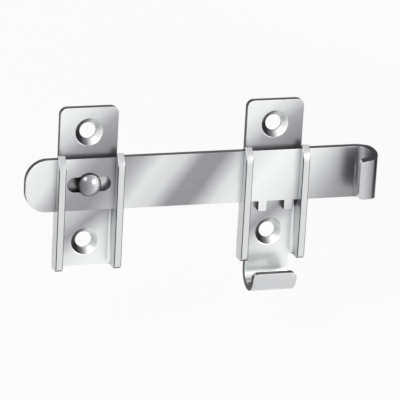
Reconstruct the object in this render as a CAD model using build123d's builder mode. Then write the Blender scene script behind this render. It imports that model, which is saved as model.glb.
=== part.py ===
from build123d import *
import os

# Padbolt: a flat bar that slides in two folded brackets, kept by a headed stud in a slot.
# Millimetres. X runs along the bar, +Z is up, and the wall that carries the brackets is Y = 0.
# The front of the part looks along -Y. The origin is midway between the left bracket's screw
# holes, on its back face.

# Sheet and clearances
SHEET = 2.5
FACE_GAP = 0.15
SEAT_GAP = 0.15
FINGER_GAP = 0.2
STUD_GAP = 0.08
STOP_GAP = 0.1
GRAB = 0.01

# Brackets
PLATE_WIDTH = 20.0
PLATE_CORNER = 2.5
SCREW_PITCH = 38.5
SCREW_EDGE = 8.5
SCREW_HOLE = 5.5
SCREW_SINK = 9.5
SINK_ANGLE = 90.0
BRACKET_PITCH = 65.0
CHANNEL_INSIDE = 17.7
FOLD_RADIUS = 0.8
FIN_REACH = 3.2
FIN_CORNER = 1.5
FINGER_RISE = 1.6
NOSE_HEIGHT = 5.5
NOSE_SETBACK = 2.3

# Bar
BAR_HEIGHT = 18.2
BAR_RISE = 1.75
BAR_OVERHANG = 21.8
BAR_CORNER = 7.5
BAR_END = 100.0
SLOT_LENGTH = 15.0
TOOTH_WIDTH = 3.0
TOOTH_DROP = 3.6
TOOTH_SPREAD = 9.2
TOOTH_SHIFT = 1.0
TOOTH_CORNER = 0.4

# Rolled hooks on the bar's end and under the right bracket
HOOK_GAP = 7.5
HOOK_REACH = 7.8
LIP_HEIGHT = 13.6
LIP_CORNER = 2.0
TONGUE_WIDTH = 15.5
TONGUE_DROP = 11.1

# Stud
STUD_SHANK = 5.0
STUD_TAIL = 4.0
STUD_HEAD = 8.0
STUD_DOME = 1.8
STUD_RIM = 0.5
TAIL_FLARE = 0.7

# Heights and depths that follow from the sizes above
plate_top = SCREW_PITCH / 2 + SCREW_EDGE
plate_bottom = -plate_top
bar_bottom = BAR_RISE - BAR_HEIGHT / 2
bar_top = BAR_RISE + BAR_HEIGHT / 2
fin_top = bar_top + FINGER_RISE
seat_level = bar_bottom - SEAT_GAP
bar_back = -SHEET - FACE_GAP
bar_front = bar_back - SHEET
finger_back = bar_front - FINGER_GAP
fin_front = finger_back - FIN_REACH
channel_outside = CHANNEL_INSIDE + 2 * SHEET
nose_radius = (NOSE_HEIGHT**2 + NOSE_SETBACK**2) / (2 * NOSE_SETBACK)
bend_inside = HOOK_GAP / 2
bend_outside = bend_inside + SHEET
tongue_bottom = plate_bottom - TONGUE_DROP
fold_bite = FOLD_RADIUS - (FOLD_RADIUS**2 - (FOLD_RADIUS - FACE_GAP) ** 2) ** 0.5
tooth_room = (CHANNEL_INSIDE - TOOTH_SPREAD - TOOTH_WIDTH) / 2 - fold_bite - STOP_GAP
slot_height = STUD_SHANK + 2 * STUD_GAP
head_seat = bar_front - STUD_GAP
dome_radius = ((STUD_HEAD / 2) ** 2 + STUD_DOME**2) / (2 * STUD_DOME)
pull_front = bar_back - 2 * bend_outside
front_view = Plane(origin=(0, -SHEET, 0), x_dir=(1, 0, 0), z_dir=(0, -1, 0))
bar_view = Plane(origin=(0, bar_front, 0), x_dir=(1, 0, 0), z_dir=(0, -1, 0))


def bracket_shell(centre):
    """Folded plate whose side fins end in free fingers in front of the bar."""
    with BuildPart() as shell:
        # Channel, from the plate's foot to the fingers' tips
        with BuildSketch(Plane.XY.offset(plate_bottom)) as channel:
            with Locations((centre, fin_front / 2)):
                Rectangle(channel_outside, -fin_front)
            fillet(channel.vertices().group_by(Axis.Y)[-1], FOLD_RADIUS + SHEET)
            with Locations((centre, (fin_front - SHEET) / 2)):
                Rectangle(CHANNEL_INSIDE, -fin_front - SHEET, mode=Mode.SUBTRACT)
        extrude(amount=fin_top - plate_bottom)
        inner_folds = shell.edges().filter_by(Axis.Z).filter_by_position(
            Axis.Y, -SHEET - GRAB, -SHEET + GRAB
        )
        fillet(inner_folds, FOLD_RADIUS)
        # Side outline of the fins, with a rounded foot and a finger that leans back at its tip
        with BuildSketch(Plane.YZ) as side:
            with BuildLine():
                foot = Line((0, plate_bottom), (fin_front + FIN_CORNER, plate_bottom))
                corner = RadiusArc(
                    foot @ 1, (fin_front, plate_bottom + FIN_CORNER), FIN_CORNER
                )
                edge = Line(corner @ 1, (fin_front, fin_top - NOSE_HEIGHT))
                tip = RadiusArc(edge @ 1, (fin_front + NOSE_SETBACK, fin_top), nose_radius)
                Polyline(tip @ 1, (0, fin_top), foot @ 0)
            make_face()
        extrude(amount=2 * BRACKET_PITCH, both=True, mode=Mode.INTERSECT)
        # The bar's way behind both fingers, open at the top
        with BuildSketch(Plane.XY.offset(seat_level)):
            with Locations((centre, finger_back / 2)):
                Rectangle(channel_outside + SHEET, -finger_back)
        extrude(amount=fin_top - seat_level, mode=Mode.SUBTRACT)
        # Upper plate, behind and above the bar
        with BuildSketch(front_view):
            with Locations((centre, (seat_level + plate_top) / 2)):
                Rectangle(PLATE_WIDTH, plate_top - seat_level)
        extrude(amount=-SHEET)
        fillet(shell.edges().filter_by(Axis.Y).group_by(Axis.Z)[-1], PLATE_CORNER)
    return shell.part


def screw_holes(centre):
    """Two countersunk holes, one above and one below the bar."""
    with Locations(front_view):
        with Locations((centre, SCREW_PITCH / 2), (centre, -SCREW_PITCH / 2)):
            CounterSinkHole(
                radius=SCREW_HOLE / 2,
                counter_sink_radius=SCREW_SINK / 2,
                depth=SHEET,
                counter_sink_angle=SINK_ANGLE,
            )


def hook_outline(run_start, bend_end, root):
    """Strip that runs along +X, then rolls forward through half a turn to a short lip."""
    bend = bend_end - bend_outside
    lip_end = bend_end - HOOK_REACH
    with BuildLine() as outline:
        back = Line((run_start, root), (bend, root))
        outer = RadiusArc(back @ 1, (bend, root - 2 * bend_outside), bend_outside)
        lip_front = Line(outer @ 1, (lip_end, root - 2 * bend_outside))
        lip_edge = Line(lip_front @ 1, (lip_end, root - 2 * bend_outside + SHEET))
        lip_back = Line(lip_edge @ 1, (bend, root - 2 * bend_outside + SHEET))
        inner = RadiusArc(lip_back @ 1, (bend, root - SHEET), -bend_inside)
        front = Line(inner @ 1, (run_start, root - SHEET))
        Line(front @ 1, back @ 0)
    return outline.line


def lip_corners(strip, away):
    """The two short edges at the free end of a rolled lip, which points along away."""
    front_face = strip.faces().filter_by(Axis.Y).sort_by(Axis.Y)[0]
    free_edge = front_face.edges().sort_by(away)[0]
    return strip.edges().filter_by(
        lambda e: any(e.distance_to(v.center()) < GRAB for v in free_edge.vertices())
        and abs(e.tangent_at(0.5).Y) > 0.5
    )


# Left bracket, with the stud's riveting hole
with BuildPart() as left_bracket:
    add(bracket_shell(0))
    screw_holes(0)
    with Locations(front_view):
        with Locations((0, BAR_RISE)):
            Hole(radius=STUD_TAIL / 2, depth=SHEET)
    tail_mouth = left_bracket.edges().filter_by(GeomType.CIRCLE).filter_by(
        lambda e: abs(e.radius - STUD_TAIL / 2) < GRAB and abs(e.arc_center.Y) < GRAB
    )
    chamfer(tail_mouth, TAIL_FLARE)

# Right bracket, whose plate runs on down as a tongue that ends in a rolled hook
hook_plane = Plane(origin=(BRACKET_PITCH, 0, 0), x_dir=(0, 0, -1), z_dir=(1, 0, 0))
with BuildPart() as right_bracket:
    with BuildSketch(hook_plane):
        add(hook_outline(-seat_level, -tongue_bottom, 0))
        make_face()
    extrude(amount=TONGUE_WIDTH / 2, both=True)
    fillet(lip_corners(right_bracket, -Axis.Z), LIP_CORNER)
    add(bracket_shell(BRACKET_PITCH))
    screw_holes(BRACKET_PITCH)

# Bar, with a slot for the stud, two stop teeth and a rolled pull at the right end
with BuildPart() as bolt_bar:
    with BuildSketch(Plane.XY.offset(bar_bottom)):
        add(hook_outline(-BAR_OVERHANG, BAR_END, bar_back))
        make_face()
    extrude(amount=BAR_HEIGHT)
    # The pull narrows towards its lip
    with BuildSketch(Plane.YZ):
        with BuildLine():
            Polyline(
                (0, bar_bottom),
                (bar_front, bar_bottom),
                (pull_front, BAR_RISE - LIP_HEIGHT / 2),
                (pull_front, BAR_RISE + LIP_HEIGHT / 2),
                (bar_front, bar_top),
                (0, bar_top),
                close=True,
            )
        make_face()
    extrude(amount=2 * BAR_END, both=True, mode=Mode.INTERSECT)
    fillet(lip_corners(bolt_bar, Axis.X), LIP_CORNER)
    nose_corners = bolt_bar.edges().filter_by(Axis.Y).group_by(Axis.X)[0]
    fillet(nose_corners, BAR_CORNER)
    # Stop teeth between the right bracket's fins
    with BuildSketch(bar_view):
        with Locations((BRACKET_PITCH + TOOTH_SHIFT, bar_bottom)):
            with GridLocations(TOOTH_SPREAD, 1, 2, 1):
                Rectangle(TOOTH_WIDTH, 2 * TOOTH_DROP)
    extrude(amount=-SHEET)
    fillet(bolt_bar.edges().filter_by(Axis.Y).group_by(Axis.Z)[0], TOOTH_CORNER)
    # Slot that the stud stands in
    with BuildSketch(bar_view):
        with Locations((0, BAR_RISE)):
            SlotOverall(SLOT_LENGTH, slot_height)
    extrude(amount=-SHEET, mode=Mode.SUBTRACT)

# Stud: flared tail in the left plate, shank in the slot, domed head over the bar
with BuildPart() as stop_stud:
    with BuildSketch(Plane.YZ):
        with BuildLine():
            flare = Polyline(
                (0, BAR_RISE),
                (0, BAR_RISE + STUD_TAIL / 2 + TAIL_FLARE),
                (-TAIL_FLARE, BAR_RISE + STUD_TAIL / 2),
                (-SHEET, BAR_RISE + STUD_TAIL / 2),
                (-SHEET, BAR_RISE + STUD_SHANK / 2),
                (head_seat, BAR_RISE + STUD_SHANK / 2),
                (head_seat, BAR_RISE + STUD_HEAD / 2),
                (head_seat - STUD_RIM, BAR_RISE + STUD_HEAD / 2),
            )
            dome = RadiusArc(
                flare @ 1, (head_seat - STUD_RIM - STUD_DOME, BAR_RISE), -dome_radius
            )
            Line(dome @ 1, flare @ 0)
        make_face()
    revolve(axis=Axis((0, 0, BAR_RISE), (0, 1, 0)))

# The teeth stop the bar before the slot does
print(f"bar travel {-tooth_room - TOOTH_SHIFT:.2f} to {tooth_room - TOOTH_SHIFT:.2f} mm")
print(f"slot travel {(SLOT_LENGTH - STUD_SHANK) / 2:.2f} mm each way")

os.makedirs("parts", exist_ok=True)
for name, piece in {
    "left_bracket": left_bracket,
    "right_bracket": right_bracket,
    "bolt_bar": bolt_bar,
    "stop_stud": stop_stud,
}.items():
    piece.part.label = name
    export_step(piece.part, f"parts/{name}.step")
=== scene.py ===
"""Looks of the padbolt: sheet-metal pieces in zinc plating with painted light and shade in their
greys, on a pale floor in soft light.
"""

from __future__ import annotations

import logging
import math
from dataclasses import dataclass
from enum import Enum
from typing import Any, Callable

import bmesh
import bpy
from mathutils import Euler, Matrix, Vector

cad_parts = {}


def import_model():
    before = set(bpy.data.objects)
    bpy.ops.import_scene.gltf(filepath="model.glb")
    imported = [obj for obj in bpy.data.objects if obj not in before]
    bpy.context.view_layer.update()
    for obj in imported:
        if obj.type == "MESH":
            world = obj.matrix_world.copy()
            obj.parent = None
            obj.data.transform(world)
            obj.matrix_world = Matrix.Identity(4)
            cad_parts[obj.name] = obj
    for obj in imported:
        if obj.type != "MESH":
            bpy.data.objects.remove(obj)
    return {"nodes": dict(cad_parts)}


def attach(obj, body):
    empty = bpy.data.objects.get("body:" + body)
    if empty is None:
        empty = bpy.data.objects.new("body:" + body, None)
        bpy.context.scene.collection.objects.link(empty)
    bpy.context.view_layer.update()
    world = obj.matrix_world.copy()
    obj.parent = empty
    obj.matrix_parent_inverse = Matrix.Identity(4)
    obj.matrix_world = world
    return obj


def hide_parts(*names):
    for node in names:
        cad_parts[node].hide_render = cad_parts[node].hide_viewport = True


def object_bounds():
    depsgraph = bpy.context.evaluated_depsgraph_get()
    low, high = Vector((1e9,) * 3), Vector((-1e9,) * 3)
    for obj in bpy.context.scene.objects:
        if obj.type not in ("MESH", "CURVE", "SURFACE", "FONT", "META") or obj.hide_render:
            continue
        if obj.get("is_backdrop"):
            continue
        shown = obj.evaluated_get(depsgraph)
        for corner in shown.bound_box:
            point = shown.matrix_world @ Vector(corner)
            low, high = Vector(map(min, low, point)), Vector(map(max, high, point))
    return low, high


MM = 0.001
ALONG, UP = 0, 2
log = logging.getLogger("padbolt")


class Grain(Enum):
    """Which way the rolling or turning marks run on a piece."""

    ALONG_BAR = (1.0, 60.0, 60.0)
    UP_PLATE = (60.0, 60.0, 1.0)
    TURNED = (14.0, 14.0, 14.0)


class Value:
    """A shader socket that takes part in Python expressions, each adding a Math node."""

    def __init__(self, shader: "Shader", socket: bpy.types.NodeSocket) -> None:
        """Wraps one output.

        Args:
            shader: the shader whose tree the socket is in.
            socket: the output socket.
        """
        self.shader = shader
        self.socket = socket

    def _math(self, operation: str, first: Any, second: Any) -> "Value":
        """Adds a Math node.

        Args:
            operation: the Math node's operation.
            first: a Value or a number.
            second: a Value or a number.

        Returns:
            The node's output.
        """
        return self.shader.node("ShaderNodeMath", {"operation": operation}, {0: first, 1: second})

    def __add__(self, other: Any) -> "Value":
        """Returns self + other."""
        return self._math("ADD", self, other)

    def __radd__(self, other: Any) -> "Value":
        """Returns other + self."""
        return self._math("ADD", other, self)

    def __sub__(self, other: Any) -> "Value":
        """Returns self - other."""
        return self._math("SUBTRACT", self, other)

    def __rsub__(self, other: Any) -> "Value":
        """Returns other - self."""
        return self._math("SUBTRACT", other, self)

    def __mul__(self, other: Any) -> "Value":
        """Returns self * other."""
        return self._math("MULTIPLY", self, other)

    def __rmul__(self, other: Any) -> "Value":
        """Returns other * self."""
        return self._math("MULTIPLY", other, self)

    def __truediv__(self, other: Any) -> "Value":
        """Returns self / other."""
        return self._math("DIVIDE", self, other)


@dataclass
class Shader:
    """A material's node tree, built from calls instead of by hand."""

    tree: bpy.types.NodeTree

    def node(
        self,
        kind: str,
        settings: dict[str, Any] | None = None,
        inputs: dict[Any, Any] | None = None,
        output: Any = 0,
    ) -> Value:
        """Adds a node.

        Args:
            kind: the node's type.
            settings: properties to set first; "stops" gives a colour ramp's stops.
            inputs: values or links of its sockets, by name or number.
            output: the output to return, by name or number.

        Returns:
            The chosen output.
        """
        made = self.tree.nodes.new(kind)
        for name, value in (settings or {}).items():
            if name == "stops":
                self._stops(made.color_ramp, value)
            else:
                setattr(made, name, value)
        for name, value in (inputs or {}).items():
            if isinstance(value, Value):
                self.tree.links.new(value.socket, made.inputs[name])
            else:
                made.inputs[name].default_value = value
        return Value(self, made.outputs[output])

    def end(self, kind: str, surface: Value) -> None:
        """Adds the output node and joins it up.

        Args:
            kind: the output node's type.
            surface: what it shows.
        """
        made = self.tree.nodes.new(kind)
        self.tree.links.new(surface.socket, made.inputs["Surface"])

    @staticmethod
    def _stops(ramp: bpy.types.ColorRamp, stops: list[tuple[float, float]]) -> None:
        """Sets a ramp's grey stops.

        Args:
            ramp: the ramp, which starts with two stops.
            stops: pairs of position and grey level.
        """
        while len(ramp.elements) < len(stops):
            ramp.elements.new(1.0)
        for element, (place, grey) in zip(ramp.elements, stops):
            element.position = place
            element.color = (grey, grey, grey, 1.0)


class Sweep(Enum):
    """What the soft painted bands of reflection and shade on a surface follow."""

    SLANTED_ALONG_BAR = "along"
    SLANTED_UP_PLATE = "up"
    ACROSS_ROUND = "across"
    NONE = "none"


@dataclass(frozen=True)
class Metal:
    """A grey metal's colour, gloss and fine marks, with painted light and shade in the colour.

    The levels are pairs of a distance in mm and the grey there, in linear values: painted
    reflection bands, painted shade and painted shadow. The tints colour the lighter and darker
    greys, painted ones too.
    """

    name: str
    levels: tuple[tuple[float, float], ...]
    grain: Grain
    sweep: Sweep = Sweep.NONE
    middle_x: float = 0.0
    lean: float = 0.75
    wander: float = 3.0
    front: "Front | None" = None
    roughness: float = 0.3
    roughness_spread: float = 0.12
    mottle: float = 0.07
    streak: float = 0.06
    light_tint: tuple[float, float, float] = (0.975, 1.0, 0.985)
    dark_tint: tuple[float, float, float] = (0.93, 0.92, 1.0)
    cloud_scale: float = 60.0
    speck_scale: float = 1100.0
    grain_scale: float = 60.0
    grain_height: float = 0.02

    def material(self) -> bpy.types.Material:
        """Builds the material, with its painted light and shade.

        Returns:
            The material, whose patterns follow Object coordinates.
        """
        made = bpy.data.materials.new(self.name)
        made.use_nodes = True
        made.node_tree.nodes.clear()
        shader = Shader(made.node_tree)
        place = shader.node("ShaderNodeTexCoord", output="Object")
        streaks = shader.node(
            "ShaderNodeMapping", inputs={"Vector": place, "Scale": self.grain.value}
        )
        grain = self._noise(shader, streaks, self.grain_scale, 4.0)
        clouds = self._noise(shader, place, self.cloud_scale, 3.0)
        specks = self._noise(shader, place, self.speck_scale, 2.0)
        level = self._level(shader, place, clouds)
        # The painted light and shade, with the real mottle and rolling streaks over it.
        grey = level + self.mottle * (clouds - 0.5) + self.streak * (grain - 0.5)
        # The tint greens the lighter greys and turns the darker ones lilac, painted light and
        # shade among them.
        tint = shader.node(
            "ShaderNodeMix",
            {"data_type": "RGBA"},
            {0: grey, 6: (*self.dark_tint, 1.0), 7: (*self.light_tint, 1.0)},
            output=2,
        )
        shade = shader.node("ShaderNodeCombineColor", inputs={0: grey, 1: grey, 2: grey})
        colour = shader.node(
            "ShaderNodeMix",
            {"data_type": "RGBA", "blend_type": "MULTIPLY"},
            {0: 1.0, 6: shade, 7: tint},
            output=2,
        )
        relief = shader.node(
            "ShaderNodeBump",
            inputs={
                "Strength": 0.35,
                "Distance": self.grain_height * MM,
                "Height": 0.75 * grain + 0.25 * specks,
            },
        )
        surface = shader.node(
            "ShaderNodeBsdfPrincipled",
            inputs={
                "Base Color": colour,
                "Metallic": 1.0,
                "Roughness": self.roughness + self.roughness_spread * (0.5 - clouds),
                "Normal": relief,
            },
        )
        shader.end("ShaderNodeOutputMaterial", surface)
        return made

    @staticmethod
    def _noise(shader: Shader, place: Value, scale: float, detail: float) -> Value:
        """Adds a noise pattern.

        Args:
            shader: the material's shader.
            place: the coordinates it follows.
            scale: its size, in features a metre.
            detail: how many finer layers it has.

        Returns:
            A value around one half.
        """
        inputs = {"Vector": place, "Scale": scale, "Detail": detail, "Roughness": 0.55}
        return shader.node("ShaderNodeTexNoise", inputs=inputs)

    def _level(self, shader: Shader, place: Value, clouds: Value) -> Value | float:
        """Gives the painted grey of reflection bands, shade and shadow, before the fine marks.

        Args:
            shader: the material's shader.
            place: Object coordinates.
            clouds: a soft noise that keeps the painted bands from being ruler-straight.

        Returns:
            The grey, a plain number where it is the same all over.
        """
        first, last = self.levels[0][0], self.levels[-1][0]
        if self.sweep is Sweep.NONE:
            return self.levels[0][1]
        x = shader.node("ShaderNodeSeparateXYZ", inputs={0: place}, output=0)
        y = shader.node("ShaderNodeSeparateXYZ", inputs={0: place}, output=1)
        z = shader.node("ShaderNodeSeparateXYZ", inputs={0: place}, output=2)
        if self.sweep is Sweep.SLANTED_ALONG_BAR:
            distance = x / MM - self.lean * (z / MM)
        elif self.sweep is Sweep.ACROSS_ROUND:
            distance = x / MM - self.middle_x
        else:
            distance = z / MM - self.lean * (x / MM - self.middle_x)
        distance = distance + self.wander * (clouds - 0.5)
        stops = [((mm - first) / (last - first), grey) for mm, grey in self.levels]
        along = (distance - first) / (last - first)
        level = shader.node("ShaderNodeValToRGB", {"stops": stops}, {0: along})
        if self.front is None:
            return level
        return self.front.over(shader, level, x, y)


@dataclass(frozen=True)
class Front:
    """What stands in front of a sheet, such as fins or a rolled lip, with its own painted greys.

    The levels run along +X and are painted shade, on the fins' sides and on the lip. The rim is
    the painted highlight of the fins' front faces, and beyond is the painted grey of what reaches
    past them, such as the hook.
    """

    starts: float
    full: float
    levels: tuple[tuple[float, float], ...]
    rim: float | None = None
    rim_starts: float = 8.3
    rim_full: float = 8.5
    beyond: float = 0.68
    beyond_starts: float = 8.9
    beyond_full: float = 9.8

    def over(self, shader: Shader, level: Value, x: Value, y: Value) -> Value:
        """Lays the front's painted greys over the sheet's.

        Args:
            shader: the material's shader.
            level: the sheet's grey.
            x: the place along the bar.
            y: the place through the sheet.

        Returns:
            The grey of both.
        """
        first, last = self.levels[0][0], self.levels[-1][0]
        stops = [((mm - first) / (last - first), grey) for mm, grey in self.levels]
        along = (x / MM - first) / (last - first)
        own = shader.node("ShaderNodeValToRGB", {"stops": stops}, {0: along})
        if self.rim is not None:
            edge = self._step(shader, y, self.rim_starts, self.rim_full)
            own = own * (1.0 - edge) + self.rim * edge
            past = self._step(shader, y, self.beyond_starts, self.beyond_full)
            own = own * (1.0 - past) + self.beyond * past
        depth = self._step(shader, y, self.starts, self.full)
        return level * (1.0 - depth) + own * depth

    @staticmethod
    def _step(shader: Shader, y: Value, starts: float, full: float) -> Value:
        """Rises smoothly from 0 to 1 between two depths.

        Args:
            shader: the material's shader.
            y: the place through the sheet.
            starts: where it starts, in mm in front of the wall.
            full: where it is 1.

        Returns:
            The mask.
        """
        inputs = {0: y, 1: -starts * MM, 2: -full * MM}
        return shader.node("ShaderNodeMapRange", {"interpolation_type": "SMOOTHSTEP"}, inputs)


Area = tuple[Metal, Callable[[Vector, Vector], bool]]
Cuts = tuple[tuple[int, float], ...]


@dataclass
class PlatedPiece:
    """A CAD node's own shape with its sharp edges broken, as tumbling and plating leave them."""

    node: str
    body: str = "brackets"
    slot: str = "bracket_steel"
    edge_radius: float = 0.25 * MM
    edge_segments: int = 3
    edge_angle: float = 28.0
    smooth_angle: float = 40.0
    normal_weight: int = 80
    weld: float = 0.0005 * MM
    flatness: float = 0.4
    flat_edge: float = 0.05

    def finish_and_painted_light(self) -> Metal:
        """Returns the broad faces' zinc plating, with its painted light and shade."""
        raise NotImplementedError

    def areas(self) -> tuple[Area, ...]:
        """Returns pairs of another material, painted shade among them, and the test, on a centre
        in mm and a normal, for it.
        """
        return ()

    def cuts(self) -> Cuts:
        """Returns the axis and place, in mm, of each cut through the holes."""
        return ()

    def keeps_sharp(self, first: Vector, last: Vector) -> bool:
        """Says whether an edge is left as it is.

        Args:
            first: one end, in mm.
            last: the other end, in mm.

        Returns:
            True where the edge is too fine to round.
        """
        return False

    def build(self, nodes: dict[str, bpy.types.Object]) -> bpy.types.Object:
        """Makes the piece and lets it stand for its node.

        Args:
            nodes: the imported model's nodes.

        Returns:
            The finished piece, riding on its body.
        """
        piece = self._merged_copy(nodes[self.node])
        self._break_edges(piece)
        self._dress(piece)
        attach(piece, self.body)
        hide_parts(self.node)
        return piece

    def _merged_copy(self, source: bpy.types.Object) -> bpy.types.Object:
        """Copies a node, whose triangles are loose, and joins them into flat faces.

        Args:
            source: the node's object.

        Returns:
            The copy, at the origin.
        """
        piece = bpy.data.objects.new(f"{self.node}_plated", source.data.copy())
        bpy.context.scene.collection.objects.link(piece)
        select_only(piece)
        bpy.ops.object.mode_set(mode="EDIT")
        bpy.ops.mesh.select_all(action="SELECT")
        bpy.ops.mesh.remove_doubles(threshold=self.weld)
        bpy.ops.mesh.dissolve_limited(angle_limit=math.radians(self.flatness))
        self._cut_through_holes(piece)
        bpy.ops.object.mode_set(mode="OBJECT")
        return piece

    def _cut_through_holes(self, piece: bpy.types.Object) -> None:
        """Splits flat faces through their holes, and drops every other edge that lies flat.

        A face with a hole is joined to its rim by a stray edge, which spoils a bevel. The cuts
        take the place of those edges.

        Args:
            piece: the merged copy, in edit mode.
        """
        for axis, place in self.cuts():
            point, normal = Vector(), Vector()
            point[axis], normal[axis] = place * MM, 1.0
            bpy.ops.mesh.select_all(action="SELECT")
            bpy.ops.mesh.bisect(plane_co=point, plane_no=normal)
        shape = bmesh.from_edit_mesh(piece.data)
        bpy.ops.mesh.select_all(action="DESELECT")
        bpy.ops.mesh.select_mode(type="EDGE")
        for edge in shape.edges:
            on_cut = any(
                all(abs(end.co[axis] - place * MM) < self.weld for end in edge.verts)
                for axis, place in self.cuts()
            )
            flat = edge.calc_face_angle(math.pi) < math.radians(self.flat_edge)
            edge.select_set(flat and not on_cut)
        bmesh.update_edit_mesh(piece.data)
        bpy.ops.mesh.dissolve_edges(use_verts=False)

    def _mark_edges(self, piece: bpy.types.Object) -> None:
        """Marks the sharp edges that are rounded, leaving out those at a fold's end.

        Args:
            piece: the merged copy.
        """
        shape = bmesh.new()
        shape.from_mesh(piece.data)
        mark = shape.edges.layers.float.new("bevel_weight_edge")
        for edge in shape.edges:
            sharp = edge.calc_face_angle(0.0) > math.radians(self.edge_angle)
            kept = self.keeps_sharp(*(end.co / MM for end in edge.verts))
            edge[mark] = float(sharp and not kept)
        shape.to_mesh(piece.data)
        shape.free()

    def _dress(self, piece: bpy.types.Object) -> None:
        """Gives the sheet's faces one material and its edges and sinks their own, each carrying
        painted shade.

        Args:
            piece: the finished shape.
        """
        piece.data.materials.clear()
        areas = self.areas()
        for finish_and_painted_light in (self.finish_and_painted_light(), *(other for other, _ in areas)):
            piece.data.materials.append(finish_and_painted_light.material())
        for face in piece.data.polygons:
            place = face.center / MM
            matches = [holds(place, face.normal) for _, holds in areas]
            face.material_index = matches.index(True) + 1 if True in matches else 0

    def _break_edges(self, piece: bpy.types.Object) -> None:
        """Rounds every sharp edge and shades the rest smooth.

        Args:
            piece: the merged copy.
        """
        select_only(piece)
        self._mark_edges(piece)
        bevel = piece.modifiers.new("edges", "BEVEL")
        bevel.width = self.edge_radius
        bevel.segments = self.edge_segments
        bevel.limit_method = "WEIGHT"
        bevel.use_clamp_overlap = False
        bpy.ops.object.modifier_apply(modifier=bevel.name)
        bpy.ops.object.mode_set(mode="EDIT")
        bpy.ops.mesh.select_all(action="SELECT")
        bpy.ops.mesh.dissolve_degenerate(threshold=self.weld)
        bpy.ops.mesh.select_all(action="SELECT")
        bpy.ops.mesh.delete_loose()
        bpy.ops.object.mode_set(mode="OBJECT")
        bpy.ops.object.shade_smooth_by_angle(angle=math.radians(self.smooth_angle))
        flatter = piece.modifiers.new("normals", "WEIGHTED_NORMAL")
        flatter.keep_sharp = True
        flatter.weight = self.normal_weight
        bpy.ops.object.modifier_apply(modifier=flatter.name)


# Near black: sheared edges are duller than the plated faces, and the near-black is also painted
# shade, the dark outlines on edges and rims.
CUT_EDGE_AND_SHADE = Metal("cut_edge_and_shade", ((0.0, 0.055),), Grain.TURNED, roughness=0.45, mottle=0.03)


@dataclass
class Bracket(PlatedPiece):
    """A folded bracket: plate, two fins and, on the right one, the tongue with its hook.

    Its sizes are in mm, as the CAD has them.
    """

    middle_x: float = 0.0
    holes_up: tuple[float, ...] = (19.25, -19.25)
    stud_up: float | None = None
    sheet: float = 2.5
    half_width: float = 10.0
    sink_radius: float = 4.75
    plate_end: float = 27.75
    fold_end: float = -7.5
    fin_front: float = 8.55
    lip_depth: float = 6.0
    slack: float = 0.2
    # Painted light on the plate: a painted shadow of the bar around z = 0, and painted reflection
    # bands slanted across it.
    lights: tuple[tuple[float, float], ...] = (
        (-36.0, 0.95), (-27.0, 0.92), (-20.0, 0.82), (-16.0, 0.58), (-12.5, 0.38), (-8.5, 0.54),
        (-2.5, 0.70), (1.0, 0.45), (6.0, 0.28), (12.0, 0.34), (17.0, 0.42), (22.0, 0.68),
        (28.0, 0.86), (36.0, 0.92),
    )
    # Painted shade on the fins' two sides, and a painted highlight on their fronts.
    fin_sides: tuple[float, float] = (0.60, 0.62)
    fin_rim: float = 0.74
    # Painted shade in the screw sinks: dark on their left, light on their right.
    sink_lights: tuple[tuple[float, float], ...] = (
        (-4.8, 0.02), (-2.4, 0.04), (-0.6, 0.25), (1.2, 0.88), (4.8, 0.95),
    )

    def finish_and_painted_light(self) -> Metal:
        """Gives the broad faces' zinc plating and painted light.

        Returns:
            The plate's, with a painted shadow of the bar above and below it and painted reflection
            bands, with the fins' painted greys over it.
        """
        left, right = self.fin_sides
        sides = ((self.middle_x - 12.0, left), (self.middle_x + 12.0, right))
        front = Front(self.sheet + 0.1, self.sheet + 1.7, sides, rim=self.fin_rim)
        name = f"zinc_{self.node}"
        return Metal(
            name, self.lights, Grain.UP_PLATE, Sweep.SLANTED_UP_PLATE, self.middle_x, front=front
        )

    def areas(self) -> tuple[Area, ...]:
        """Returns the screw sinks' painted shade and the sheared edges' near-black."""
        # The cones' grey is painted shade, dark on the left and light on the right.
        cone = Metal(
            f"zinc_sinks_{self.node}",
            self.sink_lights,
            Grain.TURNED,
            Sweep.ACROSS_ROUND,
            self.middle_x,
            wander=0.5,
            roughness=0.4,
        )
        return ((cone, self._in_sink), (CUT_EDGE_AND_SHADE, self._cut_or_shaded))

    def cuts(self) -> Cuts:
        """Returns level cuts through the holes, and through the stud's where there is one."""
        places = self.holes_up if self.stud_up is None else (*self.holes_up, self.stud_up)
        return tuple((UP, place) for place in places)

    def keeps_sharp(self, first: Vector, last: Vector) -> bool:
        """Keeps the shoulder under the plate's sides, whose corners are too acute to round."""
        return all(abs(end.z - self.fold_end) < 0.02 for end in (first, last))

    def _in_sink(self, place: Vector, normal: Vector) -> bool:
        """Finds the cones that the screw heads sit in.

        Args:
            place: a face's centre, in mm.
            normal: its normal.

        Returns:
            True on a cone.
        """
        across = place.x - self.middle_x
        near = min(math.hypot(across, place.z - up) for up in self.holes_up)
        return near < self.sink_radius and -0.9 < normal.y < -0.5

    def _cut_or_shaded(self, place: Vector, normal: Vector) -> bool:
        """Finds the faces in near-black: the plate's rim, the hole walls, the tongue's sides, and
        the fins' ends.

        Args:
            place: a face's centre, in mm.
            normal: its normal.

        Returns:
            True on a sheared face, and on the roundings of the fins' fronts, whose near-black is a
            painted dark outline.
        """
        across = abs(place.x - self.middle_x)
        end = self.plate_end + self.slack
        in_plate = place.y > -self.sheet - 0.01 and across < self.half_width + self.slack
        rim = in_plate and abs(normal.y) < 0.35
        tongue = place.z < -end and abs(normal.x) > 0.8
        lip_top = place.z < -end and normal.z > 0.9 and place.y < -self.lip_depth
        # The fins' ends, with the roundings at their corners in painted shade.
        fin_end = abs(place.z + self.plate_end) < 0.7 and normal.z < -0.2 and not in_plate
        at_front = place.y < -self.fin_front + 0.25 and place.z > -end
        # Painted dark outline on the roundings of the fins' fronts.
        corner = at_front and 0.15 < abs(normal.x) < 0.985 and abs(normal.z) < 0.3
        return rim or tongue or lip_top or fin_end or corner


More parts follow.
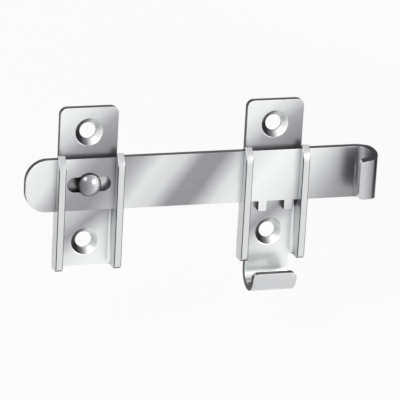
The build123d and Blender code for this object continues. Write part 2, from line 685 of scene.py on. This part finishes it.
@dataclass
class BoltBar(PlatedPiece):
    """The sliding bar with its nose, slot, teeth and rolled pull. Its sizes are in mm."""

    body: str = "bolt"
    slot: str = "bar_steel"
    edge_radius: float = 0.2 * MM
    roll_start: float = 93.75
    half_height: float = 9.1
    rise: float = 1.75
    # Painted light on the bar: slanted painted reflection bands, and painted shade darkening near
    # the pull.
    lights: tuple[tuple[float, float], ...] = (
        (-25.0, 0.90), (-16.0, 0.84), (-10.0, 0.54), (-4.0, 0.37), (4.0, 0.34), (11.0, 0.50),
        (18.0, 0.80), (26.0, 0.70), (32.0, 0.34), (39.5, 0.33), (48.0, 0.76), (60.0, 0.93),
        (72.0, 0.84), (80.0, 0.62), (88.0, 0.42), (100.0, 0.28),
    )
    # Painted shade on the rolled lip, darker to the right.
    lip_lights: tuple[tuple[float, float], ...] = (
        (90.0, 0.66), (93.5, 0.60), (97.0, 0.34), (100.0, 0.08),
    )

    def finish_and_painted_light(self) -> Metal:
        """Returns the drawn look: zinc with slanted painted reflection bands, and a lip whose
        painted shade darkens to the right.
        """
        front = Front(6.5, 10.0, self.lip_lights)
        return Metal(
            "zinc_bar", self.lights, Grain.ALONG_BAR, Sweep.SLANTED_ALONG_BAR, front=front
        )

    def areas(self) -> tuple[Area, ...]:
        """Returns the near-black of the sheared edges, partly painted shade."""
        return ((CUT_EDGE_AND_SHADE, self._cut_or_shaded),)

    def cuts(self) -> Cuts:
        """Returns an upright cut through the middle of the slot."""
        return ((ALONG, 0.0),)

    def keeps_sharp(self, first: Vector, last: Vector) -> bool:
        """Keeps the first bit of the pull's taper, whose facets are too slim to round."""
        return all(
            self.roll_start - 0.05 < end.x < self.roll_start + 1.65
            and abs(end.z - self.rise) > self.half_height - 0.25
            for end in (first, last)
        )

    def _cut_or_shaded(self, place: Vector, normal: Vector) -> bool:
        """Finds the long edges, nose, teeth, slot wall and the pull's profile, whose near-black is
        partly painted shade.
        """
        flat_part = place.x < self.roll_start - 2.75
        return (flat_part and abs(normal.y) < 0.35) or abs(normal.z) > 0.8


@dataclass
class StopStud(PlatedPiece):
    """The headed stud that is riveted in the left plate."""

    slot: str = "stud_steel"
    edge_radius: float = 0.1 * MM
    # Painted shade on the head's left and a painted highlight on its right.
    lights: tuple[tuple[float, float], ...] = (
        (-3.4, 0.14), (-1.6, 0.26), (0.4, 0.42), (1.8, 0.72), (3.4, 0.88),
    )
    # Faces sloping more than this take the near-black, a painted dark outline ring.
    crown: float = 0.74

    def finish_and_painted_light(self) -> Metal:
        """Returns the head's turned zinc, with painted shade on its left and a painted highlight
        on its right.
        """
        return Metal(
            "zinc_stud",
            self.lights,
            Grain.TURNED,
            Sweep.ACROSS_ROUND,
            wander=0.5,
            roughness=0.24,
        )

    def areas(self) -> tuple[Area, ...]:
        """Returns the near-black of the head's rim and the shank, a dull surface with a painted
        dark outline ring.
        """
        return ((CUT_EDGE_AND_SHADE, lambda place, normal: abs(normal.y) < self.crown),)


def select_only(piece: bpy.types.Object) -> None:
    """Makes one object the selected and active one.

    Args:
        piece: the object.
    """
    bpy.ops.object.select_all(action="DESELECT")
    piece.select_set(True)
    bpy.context.view_layer.objects.active = piece


@dataclass
class Studio:
    """Floor, light and camera."""

    low: Vector
    high: Vector
    azimuth: float = -18.0
    elevation: float = 19.0
    roll: float = 3.1
    lens: float = 280.0
    sensor: float = 36.0
    frame_width: float = 134.5 * MM
    aim_offset: tuple[float, float, float] = (-0.9 * MM, 0.0, 0.7 * MM)
    floor_drop: float = 30.0 * MM
    floor_size: float = 6.0
    floor_glow: float = 0.92
    card_size: tuple[float, float, float] = (0.3, 0.34, 1.0)
    card_place: tuple[float, float, float] = (0.25, 0.15, 0.06)
    key: tuple[float, float, float] = (-0.45, -0.7, 0.65)
    key_power: float = 2.0
    fill: tuple[float, float, float] = (0.6, -0.75, 0.2)
    fill_power: float = 1.8
    lamp_size: float = 0.4

    @property
    def centre(self) -> Vector:
        """The middle of the object."""
        return (self.low + self.high) / 2

    def build(self) -> None:
        """Makes the whole studio."""
        self._floor()
        self._world()
        self._card()
        self._lamp("key", self.key, self.key_power)
        self._lamp("fill", self.fill, self.fill_power)
        self._camera()

    def _floor(self) -> None:
        """A wide pale floor under the object."""
        bpy.ops.mesh.primitive_plane_add(
            size=self.floor_size, location=(0, 0, self.low.z - self.floor_drop)
        )
        floor = bpy.context.active_object
        floor.name = "floor"
        made = bpy.data.materials.new("pale_floor")
        made.use_nodes = True
        made.node_tree.nodes.clear()
        shader = Shader(made.node_tree)
        seen = shader.node("ShaderNodeLightPath", output="Is Camera Ray")
        mirrored = shader.node("ShaderNodeLightPath", output="Is Glossy Ray")
        paint = shader.node(
            "ShaderNodeBsdfDiffuse", inputs={"Color": (0.9, 0.9, 0.9, 1.0), "Roughness": 0.5}
        )
        glow = shader.node("ShaderNodeEmission", inputs={"Color": (1, 1, 1, 1), "Strength": 1.0})
        white = self.floor_glow * (seen + mirrored)
        surface = shader.node("ShaderNodeMixShader", inputs={0: white, 1: paint, 2: glow})
        shader.end("ShaderNodeOutputMaterial", surface)
        floor.data.materials.append(made)
        floor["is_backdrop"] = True

    def _card(self) -> None:
        """A black card at the right that gives rounded and sunk faces a dark side."""
        bpy.ops.mesh.primitive_plane_add(size=1.0, location=(0, 0, 0))
        card = bpy.context.active_object
        card.name = "card"
        bpy.ops.object.mode_set(mode="EDIT")
        bpy.ops.transform.resize(value=self.card_size)
        bpy.ops.transform.rotate(value=math.pi / 2, orient_axis="Y", center_override=(0, 0, 0))
        bpy.ops.transform.translate(value=self.card_place)
        bpy.ops.object.mode_set(mode="OBJECT")
        made = bpy.data.materials.new("black_card")
        made.use_nodes = True
        paint = made.node_tree.nodes["Principled BSDF"].inputs
        paint["Base Color"].default_value = (0.01, 0.01, 0.01, 1.0)
        paint["Roughness"].default_value = 0.9
        card.data.materials.append(made)
        card.visible_camera = False
        card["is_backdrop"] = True

    def _world(self) -> None:
        """An even white surround that camera and glossy rays see at full strength."""
        world = bpy.data.worlds.new("surround")
        world.use_nodes = True
        world.node_tree.nodes.clear()
        shader = Shader(world.node_tree)
        seen = shader.node("ShaderNodeLightPath", output="Is Camera Ray")
        mirrored = shader.node("ShaderNodeLightPath", output="Is Glossy Ray")
        strength = 0.55 + 0.45 * (seen + mirrored)
        light = shader.node(
            "ShaderNodeBackground", inputs={"Color": (1, 1, 1, 1), "Strength": strength}
        )
        shader.end("ShaderNodeOutputWorld", light)
        bpy.context.scene.world = world

    def _lamp(self, name: str, place: tuple[float, float, float], power: float) -> None:
        """Adds a square lamp that points at the object.

        Args:
            name: the lamp's name.
            place: where it stands, in metres.
            power: its power, in watts.
        """
        data = bpy.data.lights.new(name, "AREA")
        data.size = self.lamp_size
        data.energy = power
        lamp = bpy.data.objects.new(name, data)
        bpy.context.scene.collection.objects.link(lamp)
        lamp.location = place
        lamp.rotation_euler = (self.centre - Vector(place)).to_track_quat("-Z", "Y").to_euler()

    def _camera(self) -> None:
        """Looks from the left and above, as the photograph does."""
        data = bpy.data.cameras.new("camera")
        data.lens = self.lens
        data.sensor_width = self.sensor
        camera = bpy.data.objects.new("camera", data)
        bpy.context.scene.collection.objects.link(camera)
        turn, rise = math.radians(self.azimuth), math.radians(self.elevation)
        back = Vector(
            (math.sin(turn) * math.cos(rise), -math.cos(turn) * math.cos(rise), math.sin(rise))
        )
        distance = self.frame_width * self.lens / self.sensor
        camera.location = self.centre + Vector(self.aim_offset) + back * distance
        aim = (-back).to_track_quat("-Z", "Y").to_matrix()
        level = Euler((0, 0, math.radians(self.roll))).to_matrix()
        camera.rotation_euler = (aim @ level).to_euler()
        bpy.context.scene.camera = camera


def main() -> None:
    """Builds every piece and the studio around them."""
    logging.basicConfig(level=logging.INFO, format="%(name)s %(message)s")
    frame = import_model()
    cad_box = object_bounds()
    bpy.ops.object.select_all(action="DESELECT")
    bpy.context.scene.view_settings.view_transform = "Standard"
    pieces = (
        Bracket("left_bracket", stud_up=1.75),
        Bracket("right_bracket", middle_x=65.0),
        BoltBar("bolt_bar"),
        StopStud("stop_stud"),
    )
    for piece in pieces:
        made = piece.build(frame["nodes"])
        log.info("%s: %d faces", made.name, len(made.data.polygons))
    Studio(*cad_box).build()


if __name__ == "__main__":
    main()
